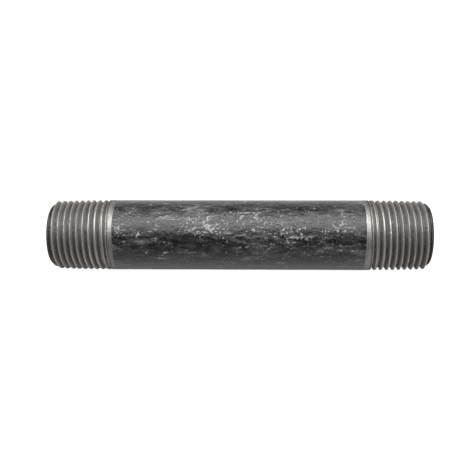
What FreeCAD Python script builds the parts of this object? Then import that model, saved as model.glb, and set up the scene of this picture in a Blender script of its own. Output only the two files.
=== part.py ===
"""Threaded pipe nipple: a short length of half-inch black steel pipe with a tapered
right-hand pipe thread cut on each end.

Frame: millimetres. The pipe's axis is X, with the origin at the middle of its length on the
axis, and +Z is up as the nipple lies on its side. The real nipple is one piece of steel. It is
modelled as the regions that its making gives it: the plain barrel, the two threaded ends, and
the bead that the pipe mill's welding left along the bore.
"""

import FreeCAD, Part
import math
import os

# ---- driving dimensions, in millimetres and degrees ----------------------------------------
INCH = 25.4

NIPPLE_LENGTH = 4.5 * INCH  # end face to end face
PIPE_DIAMETER = 0.840 * INCH  # outside of half-inch pipe
PIPE_WALL = 0.109 * INCH  # schedule 40

THREADS_PER_INCH = 14.0
THREAD_TAPER = 1.0 / 16.0  # growth of the diameter per unit of length
THREAD_ANGLE = 60.0  # between the two flanks
CREST_CUT_SHARE = 0.033  # truncation of the sharp crest, as a share of the pitch
ROOT_CUT_SHARE = 0.033  # truncation of the sharp root, as a share of the pitch
RUN_OUT_LENGTH = 0.140 * INCH  # where the groove rises out of the pipe
BARE_STRIP_LENGTH = 0.0415 * INCH  # scraped metal between the last groove and the coating

CHAMFER_BELOW_ROOT = 0.056  # how far the end chamfer reaches under the thread's root
END_CHAMFER_ANGLE = 45.0
BORE_CHAMFER = 0.30  # deburred edge of the bore, along and across

BEAD_WIDTH = 1.7
BEAD_HEIGHT = 0.20
BEAD_STRIPS = 6  # flat strips across its face
BEAD_SET_BACK = 0.6  # each end of the bead from the end face
BEAD_ANGLE = 128.0  # about +X from +Z

LEFT_THREAD_ANGLE = 173.0  # turn about +X of the left thread
RIGHT_THREAD_ANGLE = 229.0  # turn about +X of the right thread

# ---- the taper thread standard's rules: what follows from the pipe's diameter and the pitch ----
PITCH_DIAMETER_PER_DIAMETER = 0.05  # E0 = D - (0.05 D + 1.1) p, in inches
PITCH_DIAMETER_PITCHES = 1.1
EFFECTIVE_LENGTH_PER_DIAMETER = 0.80  # L2 = (0.80 D + 6.8) p, in inches
EFFECTIVE_LENGTH_PITCHES = 6.8
VANISH_PITCHES = 3.47  # imperfect thread past the effective length

# ---- sizes that follow ---------------------------------------------------------------------
PITCH = INCH / THREADS_PER_INCH
PIPE_RADIUS = PIPE_DIAMETER / 2
BORE_RADIUS = PIPE_RADIUS - PIPE_WALL
PIPE_INCHES = PIPE_DIAMETER / INCH
PITCH_DIAMETER_AT_END = (
    PIPE_DIAMETER - (PITCH_DIAMETER_PER_DIAMETER * PIPE_INCHES + PITCH_DIAMETER_PITCHES) * PITCH
)
EFFECTIVE_LENGTH = (EFFECTIVE_LENGTH_PER_DIAMETER * PIPE_INCHES + EFFECTIVE_LENGTH_PITCHES) * PITCH
THREADED_ZONE_LENGTH = EFFECTIVE_LENGTH + VANISH_PITCHES * PITCH
FULL_ROOT_LENGTH = THREADED_ZONE_LENGTH - BARE_STRIP_LENGTH - RUN_OUT_LENGTH
HALF_LENGTH = NIPPLE_LENGTH / 2
HALF_BARREL = HALF_LENGTH - THREADED_ZONE_LENGTH

FLANK_SLOPE = math.tan(math.radians(THREAD_ANGLE / 2))
SHARP_HEIGHT = PITCH / (2 * FLANK_SLOPE)
THREAD_HEIGHT = SHARP_HEIGHT - (CREST_CUT_SHARE + ROOT_CUT_SHARE) * PITCH
ROOT_FLAT = 2 * ROOT_CUT_SHARE * PITCH * FLANK_SLOPE
ROOT_RADIUS_AT_END = PITCH_DIAMETER_AT_END / 2 - SHARP_HEIGHT / 2 + ROOT_CUT_SHARE * PITCH
CREST_RADIUS_AT_END = ROOT_RADIUS_AT_END + THREAD_HEIGHT
CONE_SLOPE = THREAD_TAPER / 2  # growth of the radius per unit of length
END_FACE_RADIUS = ROOT_RADIUS_AT_END - CHAMFER_BELOW_ROOT

# ---- how the groove's cutter is laid out ---------------------------------------------------
STATIONS_PER_TURN = 24
CUTTER_LEAD_TURNS = 1.25  # turns before the end face
CUTTER_OVERTRAVEL = 0.25  # how far the cutter's path rises clear of the pipe
CUTTER_TOP_MARGIN = 0.5  # how far its top stands above the crest, as a share of the crest's cut

X_AXIS = FreeCAD.Vector(1, 0, 0)
Z_AXIS = FreeCAD.Vector(0, 0, 1)
ORIGIN = FreeCAD.Vector(0, 0, 0)


def root_radius(depth):
    """Radius of the groove's root at a distance from the end face."""
    on_cone = ROOT_RADIUS_AT_END + depth * CONE_SLOPE
    past = depth - FULL_ROOT_LENGTH
    if past <= 0:
        return on_cone
    cone_radius_at_exit = ROOT_RADIUS_AT_END + (FULL_ROOT_LENGTH + RUN_OUT_LENGTH) * CONE_SLOPE
    return on_cone + (PIPE_RADIUS - cone_radius_at_exit) * (past / RUN_OUT_LENGTH) ** 2


def cutter_point(depth, corner):
    """A corner of the cutter's section, where the groove's root is at depth.

    The left end is cut: depth runs from the end face at -X towards the barrel, and the path
    turns right-handed about +X, starting from +Z at the end face.
    """
    height, across = corner
    radius = root_radius(depth) + height
    angle = 2 * math.pi * depth / PITCH
    x = -HALF_LENGTH + depth + across
    return FreeCAD.Vector(x, -radius * math.sin(angle), radius * math.cos(angle))


def corner_path(start, corner):
    """The curve that a corner of the cutter's section follows over one turn, from a depth."""
    step = PITCH / STATIONS_PER_TURN
    small = step / 1000

    def tangent(depth):
        ahead = cutter_point(depth + small, corner)
        behind = cutter_point(depth - small, corner)
        return (ahead - behind) * (step / (2 * small))

    curve = Part.BSplineCurve()
    curve.interpolate(
        Points=[cutter_point(start + i * step, corner) for i in range(STATIONS_PER_TURN + 1)],
        Parameters=[float(i) for i in range(STATIONS_PER_TURN + 1)],
        InitialTangent=tangent(start),
        FinalTangent=tangent(start + PITCH),
        Scale=False,
    )
    return curve


def ruled_face(first, second):
    """The face of straight lines between two curves that share their knots."""
    surface = Part.BSplineSurface()
    surface.buildFromPolesMultsKnots(
        [list(pair) for pair in zip(first.getPoles(), second.getPoles())],
        first.getMultiplicities(),
        [2, 2],
        first.getKnots(),
        [0, 1],
        False,
        False,
        first.Degree,
        1,
    )
    return surface.toShape()


def groove_cutter():
    """What the die takes out of the left end: a V with a flat bottom, swept along turn by turn."""
    height = THREAD_HEIGHT + CUTTER_TOP_MARGIN * CREST_CUT_SHARE * PITCH
    half_root = ROOT_FLAT / 2
    half_top = half_root + height * FLANK_SLOPE
    corners = ((0, -half_root), (0, half_root), (height, half_top), (height, -half_top))

    exit_depth = FULL_ROOT_LENGTH + RUN_OUT_LENGTH
    while root_radius(exit_depth) < PIPE_RADIUS + CUTTER_OVERTRAVEL:
        exit_depth += PITCH / STATIONS_PER_TURN
    first = -CUTTER_LEAD_TURNS * PITCH
    turns = math.ceil((exit_depth - first) / PITCH)

    faces = []
    for turn in range(turns):
        paths = [corner_path(first + turn * PITCH, corner) for corner in corners]
        faces += [ruled_face(paths[i], paths[(i + 1) % 4]) for i in range(4)]
    for depth in (first, first + turns * PITCH):
        outline = [cutter_point(depth, corner) for corner in corners]
        faces.append(Part.Face(Part.makePolygon(outline + outline[:1])))
    shell = Part.Shell(faces)
    shell.sewShape()
    solid = Part.Solid(shell)
    if solid.Volume < 0:
        solid.reverse()
    return solid


def turned(points):
    """A solid of revolution about X, from an outline of (x, radius) points."""
    corners = [FreeCAD.Vector(x, 0, radius) for x, radius in points]
    face = Part.Face(Part.makePolygon(corners + corners[:1]))
    return face.revolve(ORIGIN, X_AXIS, 360)


def left_end_blank():
    """The left end of the pipe before threading: tapered and chamfered outside, bored."""
    chamfer_slope = math.tan(math.radians(END_CHAMFER_ANGLE))
    chamfer_length = (CREST_RADIUS_AT_END - END_FACE_RADIUS) / (chamfer_slope - CONE_SLOPE)
    chamfer_radius = END_FACE_RADIUS + chamfer_length * chamfer_slope
    cone_length = (PIPE_RADIUS - CREST_RADIUS_AT_END) / CONE_SLOPE
    x = -HALF_LENGTH
    return turned(
        [
            (x, BORE_RADIUS + BORE_CHAMFER),
            (x, END_FACE_RADIUS),
            (x + chamfer_length, chamfer_radius),
            (x + cone_length, PIPE_RADIUS),
            (-HALF_BARREL, PIPE_RADIUS),
            (-HALF_BARREL, BORE_RADIUS),
            (x + BORE_CHAMFER, BORE_RADIUS),
        ]
    )


def threaded_end():
    """The left threaded end, before it is turned to its own angle."""
    return left_end_blank().cut(groove_cutter())


def pipe_barrel():
    """The plain middle of the pipe."""
    return turned(
        [
            (-HALF_BARREL, BORE_RADIUS),
            (-HALF_BARREL, PIPE_RADIUS),
            (HALF_BARREL, PIPE_RADIUS),
            (HALF_BARREL, BORE_RADIUS),
        ]
    )


def inner_weld_bead():
    """The low bead along the bore: its back fits the bore, its face is a fan of flat strips."""
    half_angle = math.asin(BEAD_WIDTH / 2 / BORE_RADIUS)
    length = NIPPLE_LENGTH - 2 * BEAD_SET_BACK

    def section_point(share, height):
        """A point share of the way across the bead, from -1 to 1, and height above the bore."""
        angle = share * half_angle
        radius = BORE_RADIUS - height
        return FreeCAD.Vector(-length / 2, radius * math.sin(angle), radius * math.cos(angle))

    shares = [-1 + 2 * i / BEAD_STRIPS for i in range(BEAD_STRIPS + 1)]
    edges = []
    for first, second in zip(shares, shares[1:]):
        middle = section_point((first + second) / 2, 0)
        edges.append(Part.Arc(section_point(first, 0), middle, section_point(second, 0)).toShape())
    face = [section_point(share, BEAD_HEIGHT * (1 - share**2)) for share in reversed(shares)]
    for start, stop in zip(face, face[1:]):
        edges.append(Part.LineSegment(start, stop).toShape())
    bead = Part.Face(Part.Wire(edges)).extrude(FreeCAD.Vector(length, 0, 0))
    return bead.rotate(ORIGIN, X_AXIS, BEAD_ANGLE)


def main():
    os.makedirs("parts", exist_ok=True)
    left = threaded_end()
    right = left.copy()
    right.rotate(ORIGIN, Z_AXIS, 180)
    left.rotate(ORIGIN, X_AXIS, LEFT_THREAD_ANGLE)
    right.rotate(ORIGIN, X_AXIS, RIGHT_THREAD_ANGLE)
    nodes = {
        "pipe_barrel": pipe_barrel(),
        "left_threaded_end": left,
        "right_threaded_end": right,
        "inner_weld_bead": inner_weld_bead(),
    }
    for name, shape in nodes.items():
        shape.exportStep(os.path.join("parts", name + ".step"))
        print(name, "solids", len(shape.Solids), "valid", shape.isValid())


main()
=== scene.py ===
"""Looks of the threaded pipe nipple: the CAD regions rebuilt as fine meshes with their wear,
procedural materials, a pale floor, soft studio light and the camera.

The frame is the CAD model's: the pipe's axis is X with the origin at its middle, and +Z is up.
The pieces are worked out in millimetres and become metres when their meshes are made. The
floor, the light, the camera and the textures are in metres.
"""

import math

import bmesh
import bpy
import numpy as np
from mathutils import Matrix, Vector


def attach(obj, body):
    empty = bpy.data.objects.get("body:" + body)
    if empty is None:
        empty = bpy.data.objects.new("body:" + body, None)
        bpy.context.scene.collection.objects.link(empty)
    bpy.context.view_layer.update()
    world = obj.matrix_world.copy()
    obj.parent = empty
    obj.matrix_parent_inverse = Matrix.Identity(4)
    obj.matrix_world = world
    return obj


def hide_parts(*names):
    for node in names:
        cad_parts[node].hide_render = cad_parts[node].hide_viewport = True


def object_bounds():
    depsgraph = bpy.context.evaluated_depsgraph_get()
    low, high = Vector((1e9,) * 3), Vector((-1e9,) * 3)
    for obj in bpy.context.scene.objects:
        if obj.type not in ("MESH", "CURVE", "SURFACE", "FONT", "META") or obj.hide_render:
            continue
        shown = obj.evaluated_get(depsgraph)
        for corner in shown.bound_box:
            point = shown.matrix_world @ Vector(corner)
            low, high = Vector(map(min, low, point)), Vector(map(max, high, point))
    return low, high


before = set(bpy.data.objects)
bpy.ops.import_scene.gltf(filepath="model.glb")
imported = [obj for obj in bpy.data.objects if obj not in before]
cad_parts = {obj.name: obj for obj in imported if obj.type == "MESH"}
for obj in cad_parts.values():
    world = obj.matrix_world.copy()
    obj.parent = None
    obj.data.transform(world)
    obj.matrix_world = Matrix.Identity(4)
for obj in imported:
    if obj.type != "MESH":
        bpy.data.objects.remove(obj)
cad_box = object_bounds()

MM = 0.001
TURN = 2 * math.pi
WELD_DISTANCE = 1e-7  # metres; points closer than this become one

# ---- sizes, the same as the CAD model's ----------------------------------------------------
INCH = 25.4
NIPPLE_LENGTH = 4.5 * INCH
PIPE_INCHES = 0.840  # outside diameter, in inches
PIPE_WALL = 0.109 * INCH
THREADS_PER_INCH = 14.0
THREAD_TAPER = 1 / 16
THREAD_ANGLE = 60
CUT_SHARE = 0.033  # truncation of the crests and of the roots, as a share of the pitch
RUN_OUT_LENGTH = 0.140 * INCH
BARE_STRIP_LENGTH = 0.0415 * INCH
CHAMFER_BELOW_ROOT = 0.056
BORE_CHAMFER = 0.30
LEFT_THREAD_ANGLE = 173.0
RIGHT_THREAD_ANGLE = 229.0
BEAD_WIDTH = 1.7
BEAD_HEIGHT = 0.20
BEAD_SET_BACK = 0.6
BEAD_ANGLE = 128.0

# the taper thread standard's rules, with the diameter in inches
PITCH_DIAMETER_PER_DIAMETER = 0.05
PITCH_DIAMETER_PITCHES = 1.1
EFFECTIVE_LENGTH_PER_DIAMETER = 0.80
EFFECTIVE_LENGTH_PITCHES = 6.8
VANISH_PITCHES = 3.47

PITCH = INCH / THREADS_PER_INCH
PIPE_RADIUS = PIPE_INCHES * INCH / 2
BORE_RADIUS = PIPE_RADIUS - PIPE_WALL
HALF_LENGTH = NIPPLE_LENGTH / 2
THREADED_ZONE_LENGTH = (
    EFFECTIVE_LENGTH_PER_DIAMETER * PIPE_INCHES + EFFECTIVE_LENGTH_PITCHES + VANISH_PITCHES
) * PITCH
FULL_ROOT_LENGTH = THREADED_ZONE_LENGTH - BARE_STRIP_LENGTH - RUN_OUT_LENGTH
HALF_BARREL = HALF_LENGTH - THREADED_ZONE_LENGTH
FLANK_SLOPE = math.tan(math.radians(THREAD_ANGLE / 2))
SHARP_HEIGHT = PITCH / (2 * FLANK_SLOPE)
THREAD_HEIGHT = SHARP_HEIGHT - 2 * CUT_SHARE * PITCH
ROOT_FLAT = 2 * CUT_SHARE * PITCH * FLANK_SLOPE
PITCH_RADIUS_AT_END = (
    PIPE_INCHES * INCH
    - (PITCH_DIAMETER_PER_DIAMETER * PIPE_INCHES + PITCH_DIAMETER_PITCHES) * PITCH
) / 2
ROOT_RADIUS_AT_END = PITCH_RADIUS_AT_END - SHARP_HEIGHT / 2 + CUT_SHARE * PITCH
CREST_RADIUS_AT_END = ROOT_RADIUS_AT_END + THREAD_HEIGHT
CONE_SLOPE = THREAD_TAPER / 2
END_FACE_RADIUS = ROOT_RADIUS_AT_END - CHAMFER_BELOW_ROOT

# ---- how fine the meshes are -----------------------------------------------------------------
STEPS_ROUND = 320
STATION_TURNS = np.arange(-1, 11)  # turns of the helix that carry stations
HALF_PITCH_STATIONS = np.array([0, 0.019, 0.08, 0.16, 0.24, 0.32, 0.39, 0.44, 0.475, 0.49, 0.50])
END_FACE_RINGS = 6
END_BORE_RINGS = 60
END_BORE_RINGS_FROM = 0.8  # depth of the first of them
BARREL_STATIONS = 256
BARREL_BORE_STEP = 5  # the barrel's bore takes every fifth station
BEAD_STATIONS = 240
BEAD_POINTS_ACROSS = 13

# ---- depth of the wear, in millimetres -------------------------------------------------------
CREST_WEAR = 0.03  # how far the crests are rubbed down
CREST_TEAR = 0.09  # how deep the die tore the crests in places
CUT_RIPPLE = 0.012  # chatter on the cut flanks
TOOL_LINE_DEPTH = 0.11  # thin line along the middle of the last lands
TOOL_LINE_WIDTH = 0.13
SAW_RELIEF = 0.03  # marks on the end faces
SCALE_RELIEF = 0.020  # edges of the scale under the coating
SCRATCH_DEPTH = 0.03
CHIP_DEPTH = 0.02
BORE_RELIEF = 0.05
BEAD_SUNK = 0.02  # the bead's back, in the wall of the bore

# ---- where an effect begins and where it is full, in millimetres -----------------------------
CUT_WEAR_FROM_FACE = (0.2, 1.0)
CUT_WEAR_FROM_BARREL = (0.05, 0.3)
CHAMFER_ENDS = (0.85, 1.20)
TOOL_LINE_BEGINS = (13.0, 16.0)
TOOL_LINE_ENDS = (18.65, 18.85)
DULL_LANDS_BEGIN = (15.5, 17.5)
STRIP_BEGINS = (1.25, 0.95)  # from the barrel
FACE_ENDS = (0.0, 0.25)
END_BORE_WEAR_FROM_FACE = (0.8, 2.0)
END_BORE_WEAR_FROM_BARREL = (0.0, 0.6)
BARREL_WEAR_FROM_ENDS = (0.0, 0.5)
BARREL_BORE_WEAR_FROM_ENDS = (0.0, 1.0)
BEAD_TAPER_LENGTH = 1.5
BEAD_TIP_SHARE = 0.05  # of its height, at its very end
BEAD_LEAST_HEIGHT = 0.7  # shares of its full height and width, where it is least
BEAD_LEAST_WIDTH = 0.85

# ---- noise: cells along the region and cells round the pipe ----------------------------------
RUB_CELLS = (14, 22)
TEAR_CELLS = (40, 150)
RIPPLE_CELLS = (90, 180)
END_BORE_CELLS = (22, 60)
SAW_CELLS = (60, 24)  # along the radius, for an end face
STRIP_CELLS = (190, 6)
LEFT_SEED = 31  # each end takes this seed and the five after it
RIGHT_SEED = 47

# the same with the seed
PATCHES = (9, 34, 11)
FLAKES = (42, 120, 12)
GRAIN = (160, 260, 13)
CHIP_GRAIN = (180, 190, 14)
BARREL_BORE_PITS = (80, 60, 15)
BEAD_UNEVENNESS = (90, 3, 21)

# ---- the wear attribute: 0 is dark, oily or coated, and 1 is rubbed bright; it also carries painted shade on the threads' end chamfers ---
CREST_BAND = (0.78, 1.0)  # shares of the thread's height where the crest's wear begins and is full
TORN_ABOVE = (0.66, 0.92)  # noise values where a tear begins and is full
ROOT_WEAR = 0.16
RISE_WEAR = 0.42  # added from the root to the crest
RUBBED_WEAR = 0.34
RIPPLE_WEAR = 0.25
TORN_LOSS = 0.25
DULL_LAND_LOSS = 0.35
TOOL_LINE_LOSS = 0.35
# painted shade on the threads' end chamfers, which face away from the light: the share of the wear
# taken off there and the amount taken off besides
CHAMFER_SHADE_SHARE = 0.95
CHAMFER_PAINTED_SHADE = 0.13
STRIP_WEAR = 0.06
STRIP_LINE_WEAR = 0.42
STRIP_EVEN_SHARE = 0.4  # what is left of its lines where the metal isn't rubbed
FACE_WEAR = 0.45
SAW_WEAR = 0.35
END_BORE_WEAR = 0.05
PATCH_SHARE = 0.6  # of the scale's edges; flakes give the rest
FLAKE_SHARE = 0.4
SCALE_EDGE = (0.35, 0.65)  # noise values where the scale begins and is whole
GRAIN_RELIEF_SHARE = 0.5
FLAKE_WEAR = 0.22
GRAIN_WEAR = 0.34
MARK_WEAR = 0.8
MARK_GRAIN_WEAR = 0.3
BARREL_BORE_WEAR = 0.1
BEAD_WEAR = 0.1

# Small chips in the coating: their density outside the clusters, and the noise values where a
# chip begins and is full, with how far a cluster's density lowers them.
CHIP_DENSITY = 0.30
CHIP_BEGINS = 0.97
CHIP_BEGINS_DROP = 0.36
CHIP_FULL = 1.08
CHIP_FULL_DROP = 0.28

# Clusters of chips: middle along the pipe, angle, half length, half width, strength;
# millimetres and degrees about +X from +Z.
CHIPS = (
    (-9.0, 16, 10.0, 4.4, 0.88),
    (-36.0, 18, 3.0, 4.0, 0.9),
    (-26.0, 12, 6.0, 3.0, 0.6),
    (-1.5, 58, 4.0, 1.8, 0.9),
    (-22.0, 62, 3.5, 2.0, 0.7),
    (4.0, 10, 9.0, 4.0, 1.0),
    (16.0, 28, 9.0, 3.0, 0.9),
    (30.0, 15, 6.0, 3.6, 0.9),
    (20.0, 140, 9.0, 4.0, 0.8),
    (-15.0, 215, 9.0, 5.0, 0.8),
    (10.0, 290, 10.0, 4.0, 0.8),
)

# Rubs and scratches in the coating: middle along the pipe, angle, length, slant from the pipe's
# direction, width, strength; millimetres and degrees about +X from +Z.
SCRATCHES = (
    (-29.7, 31, 2.1, -65, 0.36, 1.0),
    (-8.5, 22, 3.4, 48, 0.34, 1.0),
    (-7.0, 17, 2.4, -50, 0.25, 0.7),
    (10.5, 33, 2.0, 5, 0.35, 0.8),
    (16.0, 34, 3.4, -4, 0.30, 0.7),
    (21.0, 33, 1.6, 12, 0.35, 0.8),
    (12.4, 80, 3.6, 2, 0.40, 0.8),
    (28.0, 17, 2.4, 40, 0.30, 0.6),
    (30.5, 13, 2.6, -35, 0.30, 0.6),
    (-20.0, 5, 6.0, 3, 0.40, 0.5),
    (2.0, -8, 8.0, -2, 0.40, 0.5),
    (-24.0, 70, 5.0, 6, 0.40, 0.5),
    (24.0, 150, 7.0, 10, 0.35, 0.7),
    (-12.0, 200, 6.0, -20, 0.35, 0.7),
    (6.0, 260, 9.0, 4, 0.40, 0.6),
    (-27.0, 300, 5.0, 30, 0.35, 0.7),
)


# ---- noise -----------------------------------------------------------------------------------
def step_up(value, low, high):
    """0 up to low, 1 from high on, smooth between; low may also be the greater of the two."""
    share = np.clip((value - low) / (high - low), 0, 1)
    return share * share * (3 - 2 * share)


def lattice_noise(along, around, cells_along, cells_around, seed):
    """Smooth noise from 0 to 1; along runs 0 to 1, and around repeats after 1."""
    values = np.random.default_rng(seed).random((cells_along + 2, cells_around))
    a = np.clip(along, 0, 1) * cells_along
    b = (around % 1.0) * cells_around
    row = np.floor(a).astype(int)
    column = np.floor(b).astype(int) % cells_around
    fraction_a = step_up(a - np.floor(a), 0, 1)
    fraction_b = step_up(b - np.floor(b), 0, 1)
    beside = (column + 1) % cells_around
    low = values[row, column] * (1 - fraction_b) + values[row, beside] * fraction_b
    high = values[row + 1, column] * (1 - fraction_b) + values[row + 1, beside] * fraction_b
    return low * (1 - fraction_a) + high * fraction_a


# ---- meshes ----------------------------------------------------------------------------------
def on_pipe(x, radius, angle):
    """Points from the place along the pipe, the radius and the angle about +X from +Z."""
    points = np.stack([x, -radius * np.sin(angle), radius * np.cos(angle)], axis=-1)
    return points.reshape(-1, 3)


def every_step(values):
    """The same value at each step round the pipe: a row for each value."""
    return np.repeat(values[:, None], STEPS_ROUND, axis=1)


def make_piece(name, points, faces, wear, node):
    """A mesh object in the frame, which replaces a CAD node. wear is one number per point."""
    mesh = bpy.data.meshes.new(name)
    mesh.from_pydata((points * MM).tolist(), [], faces.tolist())
    attribute = mesh.attributes.new("wear", "FLOAT", "POINT")
    attribute.data.foreach_set("value", wear.astype(np.float32))
    # Where a station's depth is held at the end of a region, rings fall on each other.
    welded = bmesh.new()
    welded.from_mesh(mesh)
    bmesh.ops.remove_doubles(welded, verts=welded.verts, dist=WELD_DISTANCE)
    bmesh.ops.dissolve_degenerate(welded, edges=welded.edges, dist=WELD_DISTANCE)
    welded.to_mesh(mesh)
    welded.free()
    mesh.validate()
    mesh.polygons.foreach_set("use_smooth", [True] * len(mesh.polygons))
    piece = bpy.data.objects.new(name, mesh)
    bpy.context.scene.collection.objects.link(piece)
    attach(piece, "root")
    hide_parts(node)
    return piece


def closed_rings(x, radius):
    """Points and faces of a tube wall: rings along a closed section, so the solid is watertight.

    x and radius have one row per ring and one column per step round; the last ring joins the first.
    """
    rings, steps = x.shape
    angle = np.broadcast_to(np.arange(steps) / steps * TURN, x.shape)
    ring = np.arange(rings)[:, None]
    step = np.arange(steps)[None, :]
    next_ring = (ring + 1) % rings
    next_step = (step + 1) % steps
    corners = [
        ring * steps + step,
        next_ring * steps + step,
        next_ring * steps + next_step,
        ring * steps + next_step,
    ]
    return on_pipe(x, radius, angle), np.stack(corners, axis=-1).reshape(-1, 4)


# ---- threaded ends ---------------------------------------------------------------------------
HALF_TURN_ABOUT_Z = np.array([-1, -1, 1])


def blank_radius(depth):
    """The turned pipe before its groove was cut."""
    chamfer = END_FACE_RADIUS + depth
    cone = np.minimum(CREST_RADIUS_AT_END + depth * CONE_SLOPE, PIPE_RADIUS)
    return np.minimum(chamfer, cone)


def root_radius(depth):
    """The root of the groove, which rises out of the pipe over the run-out."""
    on_cone = ROOT_RADIUS_AT_END + depth * CONE_SLOPE
    past = np.maximum(depth - FULL_ROOT_LENGTH, 0)
    exit_radius = ROOT_RADIUS_AT_END + (FULL_ROOT_LENGTH + RUN_OUT_LENGTH) * CONE_SLOPE
    return on_cone + (PIPE_RADIUS - exit_radius) * (past / RUN_OUT_LENGTH) ** 2


def groove_radius(depth, turns):
    """The lowest groove wall over a point at depth, at an angle of so many turns."""
    lowest = np.full(depth.shape, np.inf)
    nearest = np.round(depth / PITCH - turns)
    for neighbour in (-1, 0, 1):
        centre = (turns + nearest + neighbour) * PITCH
        beside = np.maximum(np.abs(depth - centre) - ROOT_FLAT / 2, 0)
        lowest = np.minimum(lowest, root_radius(centre) + beside / FLANK_SLOPE)
    return lowest


def cut_outside(turns, seed):
    """Depth, radius and wear of the outside, from the end face to the barrel; the wear also holds
    painted shade on the end chamfer.
    """
    # Stations keep step with the helix, so that crests and roots stay sharp. Between two roots
    # they are closest at the crest.
    share = np.concatenate([HALF_PITCH_STATIONS, 1 - HALF_PITCH_STATIONS[-2:0:-1]])
    helix = (STATION_TURNS[:, None] + share[None, :]).reshape(-1)
    depth = (helix[:, None] + turns[None, :]) * PITCH
    depth = np.clip(depth, 0, THREADED_ZONE_LENGTH)
    turns = np.broadcast_to(turns, depth.shape)
    along = depth / THREADED_ZONE_LENGTH
    from_barrel = THREADED_ZONE_LENGTH - depth
    radius = np.minimum(blank_radius(depth), groove_radius(depth, turns))

    # rise is 1 at the crest and 0 at the root
    rise = np.clip((radius - root_radius(depth)) / THREAD_HEIGHT, 0, 1)
    near_crest = step_up(rise, *CREST_BAND)
    rubbed = lattice_noise(along, turns, *RUB_CELLS, seed)
    torn = step_up(lattice_noise(along, turns, *TEAR_CELLS, seed + 1), *TORN_ABOVE)
    ripple = lattice_noise(along, turns, *RIPPLE_CELLS, seed + 2)
    strip_lines = lattice_noise(along, turns, *STRIP_CELLS, seed + 5)
    across_land = ((depth / PITCH - turns) % 1.0 - 0.5) * PITCH
    tool_line = np.exp(-((across_land / TOOL_LINE_WIDTH) ** 2))
    tool_line = tool_line * step_up(depth, *TOOL_LINE_BEGINS) * (1 - step_up(depth, *TOOL_LINE_ENDS))

    loss = near_crest * (CREST_WEAR * rubbed + CREST_TEAR * torn) + CUT_RIPPLE * ripple
    loss = loss + TOOL_LINE_DEPTH * tool_line
    held_ends = step_up(depth, *CUT_WEAR_FROM_FACE) * step_up(from_barrel, *CUT_WEAR_FROM_BARREL)
    radius = radius - loss * held_ends

    wear = ROOT_WEAR + RISE_WEAR * rise + RUBBED_WEAR * near_crest * rubbed
    wear = wear + RIPPLE_WEAR * (ripple - 0.5) - TORN_LOSS * torn * near_crest
    wear = wear * (1 - DULL_LAND_LOSS * step_up(depth, *DULL_LANDS_BEGIN) * rise)
    wear = wear - TOOL_LINE_LOSS * tool_line
    # painted shade: the chamfer at the end of the thread is darkened as if shade falls on it
    shaded_chamfer = 1 - step_up(depth, *CHAMFER_ENDS)
    wear = wear * (1 - CHAMFER_SHADE_SHARE * shaded_chamfer) - CHAMFER_PAINTED_SHADE * shaded_chamfer
    strip_wear = STRIP_LINE_WEAR * strip_lines * (STRIP_EVEN_SHARE + (1 - STRIP_EVEN_SHARE) * rubbed)
    strip_wear = STRIP_WEAR + strip_wear
    on_strip = step_up(from_barrel, *STRIP_BEGINS)
    wear = np.clip(wear * (1 - on_strip) + on_strip * strip_wear, 0, 1)
    return depth, radius, wear


def face_and_bore(turns, seed):
    """Depth, radius and wear of the end face, from the outside in, and of the bore behind it."""
    face_radii = np.linspace(END_FACE_RADIUS, BORE_RADIUS + BORE_CHAMFER, END_FACE_RINGS + 1)[1:]
    bore_depths = np.linspace(END_BORE_RINGS_FROM, THREADED_ZONE_LENGTH, END_BORE_RINGS)
    bore_depths = np.concatenate([[BORE_CHAMFER], bore_depths])
    radius = every_step(np.concatenate([face_radii, np.full(len(bore_depths), BORE_RADIUS)]))
    depth = every_step(np.concatenate([np.zeros(len(face_radii)), bore_depths]))
    turns = np.broadcast_to(turns, depth.shape)

    pitted = lattice_noise(depth / THREADED_ZONE_LENGTH, turns, *END_BORE_CELLS, seed + 3)
    in_bore = step_up(depth, *END_BORE_WEAR_FROM_FACE)
    in_bore = in_bore * step_up(THREADED_ZONE_LENGTH - depth, *END_BORE_WEAR_FROM_BARREL)
    radius = radius + in_bore * BORE_RELIEF * pitted

    saw_marks = lattice_noise(radius / PIPE_RADIUS, turns, *SAW_CELLS, seed + 4)
    on_face = 1 - step_up(depth, *FACE_ENDS)
    depth = depth + SAW_RELIEF * on_face * saw_marks
    wear = on_face * (FACE_WEAR + SAW_WEAR * saw_marks) + (1 - on_face) * END_BORE_WEAR
    return depth, radius, wear


def threaded_end(name, node, thread_angle, is_right, seed):
    """One end: outside from the barrel to the end face, then the bore back to the barrel."""
    turns = np.arange(STEPS_ROUND) / STEPS_ROUND
    outside = [rows[::-1] for rows in cut_outside(turns, seed)]
    inside = face_and_bore(turns, seed)
    depth, radius, wear = [np.concatenate(pair) for pair in zip(outside, inside)]
    points, faces = closed_rings(depth - HALF_LENGTH, radius)
    if is_right:
        points = points * HALF_TURN_ABOUT_Z
    spin = np.array(Matrix.Rotation(math.radians(thread_angle), 3, "X"))
    return make_piece(name, points @ spin.T, faces, wear.reshape(-1), node)


# ---- barrel ----------------------------------------------------------------------------------
def from_angle(angle, degrees):
    """Distance round the pipe's outside from an angle in degrees, the short way."""
    return ((angle - math.radians(degrees) + math.pi) % TURN - math.pi) * PIPE_RADIUS


def chip_marks(x, angle, grain):
    """Small bare chips, most of them inside the clusters."""
    density = np.full(x.shape, CHIP_DENSITY)
    for middle, degrees, half_length, half_width, strength in CHIPS:
        u = (x - middle) / half_length
        v = from_angle(angle, degrees) / half_width
        density = np.maximum(density, strength * np.exp(-(u**2) - v**2))
    begins = CHIP_BEGINS - CHIP_BEGINS_DROP * density
    return step_up(grain, begins, CHIP_FULL - CHIP_FULL_DROP * density)


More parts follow.
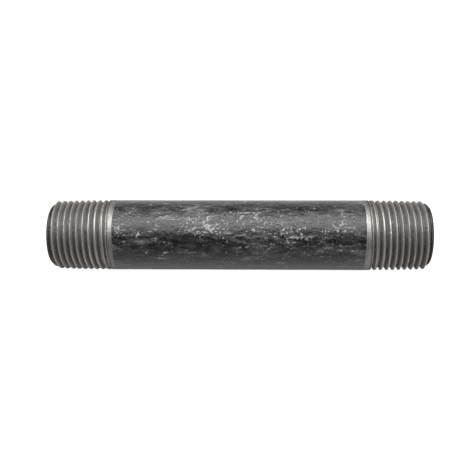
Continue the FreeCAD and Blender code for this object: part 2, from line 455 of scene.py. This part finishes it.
def scratch_marks(x, angle):
    """How strongly each point is scratched, from 0 to 1."""
    marks = np.zeros(x.shape)
    for middle, degrees, length, slant, width, strength in SCRATCHES:
        across = from_angle(angle, degrees)
        along = x - middle
        cosine = math.cos(math.radians(slant))
        sine = math.sin(math.radians(slant))
        u = (along * cosine + across * sine) / (length / 2)
        v = (across * cosine - along * sine) / (width / 2)
        marks = np.maximum(marks, strength * np.exp(-(v**2)) * np.exp(-(u**4)))
    return marks


def barrel():
    """The plain middle of the pipe: outside from right to left, then the bore back."""
    turns = np.arange(STEPS_ROUND) / STEPS_ROUND
    stations = np.linspace(HALF_BARREL, -HALF_BARREL, BARREL_STATIONS)

    # scale and coating: patches stretched along the pipe, with finer flakes over them
    x = every_step(stations)
    turns_at = np.broadcast_to(turns, x.shape)
    along = (x + HALF_BARREL) / (2 * HALF_BARREL)
    patches = lattice_noise(along, turns_at, *PATCHES)
    flakes = lattice_noise(along, turns_at, *FLAKES)
    grain = lattice_noise(along, turns_at, *GRAIN)
    chips = chip_marks(x, turns_at * TURN, lattice_noise(along, turns_at, *CHIP_GRAIN))
    marks = scratch_marks(x, turns_at * TURN)
    relief = step_up(PATCH_SHARE * patches + FLAKE_SHARE * flakes, *SCALE_EDGE)
    relief = relief + GRAIN_RELIEF_SHARE * grain
    loss = SCALE_RELIEF * relief + SCRATCH_DEPTH * marks + CHIP_DEPTH * chips
    radius = PIPE_RADIUS - loss * step_up(HALF_BARREL - np.abs(x), *BARREL_WEAR_FROM_ENDS)
    wear = FLAKE_WEAR * patches * flakes + GRAIN_WEAR * grain * patches + chips
    wear = np.clip(wear + marks * (MARK_WEAR + MARK_GRAIN_WEAR * grain), 0, 1)

    bore_x = every_step(stations[::-BARREL_BORE_STEP])
    bore_x[-1] = HALF_BARREL
    bore_along = (bore_x + HALF_BARREL) / (2 * HALF_BARREL)
    pitted = lattice_noise(bore_along, np.broadcast_to(turns, bore_x.shape), *BARREL_BORE_PITS)
    held_ends = step_up(HALF_BARREL - np.abs(bore_x), *BARREL_BORE_WEAR_FROM_ENDS)
    bore_radius = BORE_RADIUS + BORE_RELIEF * pitted * held_ends

    points, faces = closed_rings(np.concatenate([x, bore_x]), np.concatenate([radius, bore_radius]))
    wear = np.concatenate([wear, BARREL_BORE_WEAR * pitted]).reshape(-1)
    return make_piece("barrel", points, faces, wear, "pipe_barrel")


# ---- weld bead -------------------------------------------------------------------------------
def weld_bead():
    """The bead along the bore, a little uneven in height and width as welding leaves it."""
    half = HALF_LENGTH - BEAD_SET_BACK
    stations = np.linspace(-half, half, BEAD_STATIONS)
    across = np.linspace(-1, 1, BEAD_POINTS_ACROSS)[None, :]
    unevenness = lattice_noise((stations + half) / (2 * half), stations * 0, *BEAD_UNEVENNESS)
    taper = np.clip((half - np.abs(stations)) / BEAD_TAPER_LENGTH, BEAD_TIP_SHARE, 1)
    height = BEAD_LEAST_HEIGHT + (1 - BEAD_LEAST_HEIGHT) * unevenness
    height = BEAD_HEIGHT * height * taper
    width = BEAD_LEAST_WIDTH + (1 - BEAD_LEAST_WIDTH) * unevenness

    # each row of points goes across the bead's face and back along its underside
    face_radius = BORE_RADIUS - height[:, None] * (1 - across**2)
    face_angle = math.asin(BEAD_WIDTH / 2 / BORE_RADIUS) * across * width[:, None]
    back_radius = np.full(face_radius.shape, BORE_RADIUS + BEAD_SUNK)
    radius = np.concatenate([face_radius, back_radius], axis=1)
    angle = np.concatenate([face_angle, face_angle[:, ::-1]], axis=1) + math.radians(BEAD_ANGLE)
    rows, columns = radius.shape
    x = np.repeat(stations[:, None], columns, axis=1)

    row = np.arange(rows - 1)[:, None]
    column = np.arange(columns)[None, :]
    beside = (column + 1) % columns
    corners = [
        row * columns + column,
        (row + 1) * columns + column,
        (row + 1) * columns + beside,
        row * columns + beside,
    ]
    sides = np.stack(corners, axis=-1).reshape(-1, 4)
    i = np.arange(BEAD_POINTS_ACROSS - 1)
    start_cap = np.stack([i, i + 1, columns - 2 - i, columns - 1 - i], axis=-1)
    stop_cap = (start_cap + (rows - 1) * columns)[:, ::-1]
    faces = np.concatenate([sides, start_cap, stop_cap])
    wear = np.full(rows * columns, BEAD_WEAR)
    points = on_pipe(x, radius, angle)
    return make_piece("weld_bead", points, faces, wear, "inner_weld_bead")


# ---- materials -------------------------------------------------------------------------------
def new_material(name):
    material = bpy.data.materials.new(name)
    material.use_nodes = True
    tree = material.node_tree
    return material, tree, tree.nodes["Principled BSDF"]


def grey(value, warmth=0.0):
    return (value * (1 + warmth), value, value * (1 - warmth))


def add_math(tree, operation, *values):
    """A math node's output; each value is a number or another node's output."""
    node = tree.nodes.new("ShaderNodeMath")
    node.operation = operation
    for socket, value in zip(node.inputs, values):
        if isinstance(value, float):
            socket.default_value = value
        else:
            tree.links.new(value, socket)
    return node.outputs["Value"]


def add_sum(tree, first, second, share):
    """first plus share times second."""
    return add_math(tree, "MULTIPLY_ADD", second, share, first)


def add_noise(tree, scale, stretch, detail):
    """Noise in object space; a stretch below 1 draws the patches out along the pipe."""
    place = tree.nodes.new("ShaderNodeTexCoord")
    mapping = tree.nodes.new("ShaderNodeMapping")
    mapping.inputs["Scale"].default_value = (stretch, 1.0, 1.0)
    noise = tree.nodes.new("ShaderNodeTexNoise")
    noise.inputs["Scale"].default_value = scale
    noise.inputs["Detail"].default_value = detail
    tree.links.new(place.outputs["Object"], mapping.inputs["Vector"])
    tree.links.new(mapping.outputs["Vector"], noise.inputs["Vector"])
    return noise.outputs["Fac"]


def add_ramp(tree, factor, stops):
    """A colour ramp's output; stops are pairs of a position and a colour."""
    ramp = tree.nodes.new("ShaderNodeValToRGB")
    elements = ramp.color_ramp.elements
    while len(elements) < len(stops):
        elements.new(0.5)  # placed below
    for element, (position, colour) in zip(elements, stops):
        element.position = position
        element.color = (*colour, 1)
    tree.links.new(factor, ramp.inputs["Fac"])
    return ramp.outputs["Color"]


def add_bump(tree, shader, height, distance, strength):
    bump = tree.nodes.new("ShaderNodeBump")
    bump.inputs["Distance"].default_value = distance
    bump.inputs["Strength"].default_value = strength
    tree.links.new(height, bump.inputs["Height"])
    tree.links.new(bump.outputs["Normal"], shader.inputs["Normal"])


def wear_of(tree):
    node = tree.nodes.new("ShaderNodeAttribute")
    node.attribute_name = "wear"
    return node.outputs["Fac"]


def coated_steel():
    """Black lacquer over scale: satin, with grey rubs that run along the pipe."""
    material, tree, shader = new_material("black_coated_steel")
    shader.inputs["Metallic"].default_value = 0.0
    shader.inputs["Specular IOR Level"].default_value = 0.32
    cloud = add_noise(tree, scale=950, stretch=0.32, detail=9)
    fine = add_noise(tree, scale=4200, stretch=0.55, detail=3)
    mask = add_sum(tree, add_math(tree, "MULTIPLY", cloud, 0.50), fine, share=0.50)
    mask = add_sum(tree, mask, wear_of(tree), share=0.42)
    colours = (
        (0.44, grey(0.001)),
        (0.54, grey(0.008)),
        (0.63, grey(0.030)),
        (0.85, grey(0.170)),
    )
    roughness = ((0.44, grey(0.26)), (0.58, grey(0.37)), (0.80, grey(0.46)))
    tree.links.new(add_ramp(tree, mask, colours), shader.inputs["Base Color"])
    tree.links.new(add_ramp(tree, mask, roughness), shader.inputs["Roughness"])
    add_bump(tree, shader, mask, distance=0.00024, strength=1.0)
    return material


def cut_steel():
    """Bare die-cut steel, oily and dark in the grooves, with painted shade on the end chamfers, and
    bright where it is rubbed.
    """
    material, tree, shader = new_material("cut_steel")
    shader.inputs["Metallic"].default_value = 1.0
    shader.inputs["Specular Tint"].default_value = (0.30, 0.29, 0.28, 1)
    cloud = add_noise(tree, scale=1500, stretch=1.0, detail=6)
    fine = add_noise(tree, scale=4200, stretch=1.0, detail=3)
    mask = add_sum(tree, wear_of(tree), cloud, share=0.22)
    mask = add_sum(tree, mask, fine, share=0.24)
    colours = (
        (0.16, grey(0.012, warmth=0.04)),
        (0.34, grey(0.135, warmth=0.04)),
        (0.46, grey(0.20, warmth=0.035)),
        (0.70, grey(0.27, warmth=0.03)),
        (1.0, grey(0.36, warmth=0.025)),
    )
    roughness = ((0.20, grey(0.60)), (1.0, grey(0.50)))
    tree.links.new(add_ramp(tree, mask, colours), shader.inputs["Base Color"])
    tree.links.new(add_ramp(tree, mask, roughness), shader.inputs["Roughness"])
    add_bump(tree, shader, mask, distance=0.00016, strength=0.9)
    return material


def bore_scale():
    """Matt dark mill scale in the bore."""
    material, tree, shader = new_material("bore_scale")
    shader.inputs["Metallic"].default_value = 0.2
    shader.inputs["Roughness"].default_value = 0.62
    cloud = add_noise(tree, scale=600, stretch=0.5, detail=6)
    colours = ((0.3, grey(0.012, warmth=0.04)), (0.7, grey(0.05, warmth=0.06)))
    tree.links.new(add_ramp(tree, cloud, colours), shader.inputs["Base Color"])
    add_bump(tree, shader, cloud, distance=0.0001, strength=0.6)
    return material


BORE_FACES_WITHIN = BORE_RADIUS + 0.1  # faces nearer the axis than this belong to the bore


def dress(piece, outside, inside):
    """One material on the outside and the end faces, and another on the faces of the bore."""
    piece.data.materials.append(outside)
    piece.data.materials.append(inside)
    centres = np.zeros(len(piece.data.polygons) * 3)
    piece.data.polygons.foreach_get("center", centres)
    centres = centres.reshape(-1, 3)
    radius = np.hypot(centres[:, 1], centres[:, 2])
    in_bore = (radius < BORE_FACES_WITHIN * MM).astype(int)
    piece.data.polygons.foreach_set("material_index", in_bore)
    piece.data.update()


# ---- floor -----------------------------------------------------------------------------------
FLOOR_HALF = 3.0
FLOOR_COLOUR = (0.12, 0.12, 0.12, 1)
FLOOR_GLOW = 1.0

# The floor looks white to the camera. To everything else its glow is weaker beside the pipe,
# which stands in for the pipe's shade: weakest up to the first distance and full from the second.
SHADED_GLOW = 0.10
SHADE_FROM = 0.006
SHADE_TO = 0.016


def add_floor():
    z = cad_box[0][2]
    corners = [
        (-FLOOR_HALF, -FLOOR_HALF, z),
        (FLOOR_HALF, -FLOOR_HALF, z),
        (FLOOR_HALF, FLOOR_HALF, z),
        (-FLOOR_HALF, FLOOR_HALF, z),
    ]
    mesh = bpy.data.meshes.new("floor")
    mesh.from_pydata(corners, [], [(0, 1, 2, 3)])
    floor = bpy.data.objects.new("floor", mesh)
    bpy.context.scene.collection.objects.link(floor)

    material, tree, shader = new_material("floor_white")
    shader.inputs["Base Color"].default_value = FLOOR_COLOUR
    shader.inputs["Roughness"].default_value = 1.0
    shader.inputs["Specular IOR Level"].default_value = 0.0
    shader.inputs["Emission Color"].default_value = (1, 1, 1, 1)
    geometry = tree.nodes.new("ShaderNodeNewGeometry")
    position = tree.nodes.new("ShaderNodeSeparateXYZ")
    tree.links.new(geometry.outputs["Position"], position.inputs["Vector"])
    shade = tree.nodes.new("ShaderNodeMapRange")
    shade.interpolation_type = "SMOOTHSTEP"
    shade.inputs["From Min"].default_value = SHADE_FROM
    shade.inputs["From Max"].default_value = SHADE_TO
    shade.inputs["To Min"].default_value = SHADED_GLOW
    shade.inputs["To Max"].default_value = FLOOR_GLOW
    tree.links.new(add_math(tree, "ABSOLUTE", position.outputs["Y"]), shade.inputs["Value"])
    ray = tree.nodes.new("ShaderNodeLightPath")
    glow = add_math(tree, "MAXIMUM", shade.outputs["Result"], ray.outputs["Is Camera Ray"])
    tree.links.new(glow, shader.inputs["Emission Strength"])
    mesh.materials.append(material)


# ---- light -----------------------------------------------------------------------------------
KEY_ELEVATION = 104  # degrees from the camera's side, over the top
KEY_DISTANCE = 0.60
KEY_LENGTH = 1.60
KEY_WIDTH = 0.27
KEY_POWER = 21.0
SKY = ((0.02, grey(0.85)), (0.20, grey(0.30)), (0.36, grey(0.05)))  # by the direction's Z


def add_key_light():
    """A long soft box over the pipe, facing its middle."""
    light = bpy.data.lights.new("key_softbox", "AREA")
    light.shape = "RECTANGLE"
    light.size = KEY_LENGTH
    light.size_y = KEY_WIDTH
    light.energy = KEY_POWER
    lamp = bpy.data.objects.new("key_softbox", light)
    angle = math.radians(KEY_ELEVATION)
    lamp.location = (0, -KEY_DISTANCE * math.cos(angle), KEY_DISTANCE * math.sin(angle))
    lamp.rotation_euler = Matrix.Rotation(angle - math.pi / 2, 3, "X").transposed().to_euler()
    bpy.context.scene.collection.objects.link(lamp)


def add_studio():
    """The studio is pale along the horizon and dim above, where only the soft box is bright."""
    world = bpy.data.worlds.new("studio")
    world.use_nodes = True
    tree = world.node_tree
    place = tree.nodes.new("ShaderNodeTexCoord")
    direction = tree.nodes.new("ShaderNodeSeparateXYZ")
    tree.links.new(place.outputs["Generated"], direction.inputs["Vector"])
    sky = add_ramp(tree, direction.outputs["Z"], SKY)
    tree.links.new(sky, tree.nodes["Background"].inputs["Color"])
    tree.nodes["Background"].inputs["Strength"].default_value = 1.0
    bpy.context.scene.world = world
    bpy.context.scene.view_settings.view_transform = "Standard"


# ---- camera ----------------------------------------------------------------------------------
CAMERA_ELEVATION = 60.0
CAMERA_YAW = -1.46  # the right end is a little nearer
CAMERA_ROLL = 0.12
CAMERA_DISTANCE = 0.2158
LENS = 53.4
SENSOR_WIDTH = 36.0
SHIFT_RIGHT = -0.0053
SHIFT_UP = -0.0044
CLIP_START = 0.005


def add_camera():
    elevation = math.radians(CAMERA_ELEVATION)
    yaw = math.radians(CAMERA_YAW)
    roll = math.radians(CAMERA_ROLL)
    along_pipe = Vector((1, 0, 0))
    level_forward = Vector((0, math.cos(elevation), -math.sin(elevation)))
    forward = math.cos(yaw) * level_forward + math.sin(yaw) * along_pipe
    right = math.cos(yaw) * along_pipe - math.sin(yaw) * level_forward
    up = right.cross(forward)
    rolled_right = math.cos(roll) * right + math.sin(roll) * up
    rolled_up = math.cos(roll) * up - math.sin(roll) * right

    data = bpy.data.cameras.new("camera")
    data.lens = LENS
    data.sensor_width = SENSOR_WIDTH
    data.shift_x = SHIFT_RIGHT
    data.shift_y = SHIFT_UP
    data.clip_start = CLIP_START
    camera = bpy.data.objects.new("camera", data)
    turned = Matrix((rolled_right, rolled_up, -forward)).transposed()
    camera.matrix_world = Matrix.Translation(-CAMERA_DISTANCE * forward) @ turned.to_4x4()
    bpy.context.scene.collection.objects.link(camera)
    bpy.context.scene.camera = camera


# ---- the scene -------------------------------------------------------------------------------
left_end = threaded_end("left_thread", "left_threaded_end", LEFT_THREAD_ANGLE, False, LEFT_SEED)
right_end = threaded_end("right_thread", "right_threaded_end", RIGHT_THREAD_ANGLE, True, RIGHT_SEED)
middle = barrel()
bead = weld_bead()

coating = coated_steel()
bare = cut_steel()
scale = bore_scale()
bead.data.materials.append(scale)
dress(left_end, bare, scale)
dress(right_end, bare, scale)
dress(middle, coating, scale)

add_floor()
add_key_light()
add_studio()
add_camera()
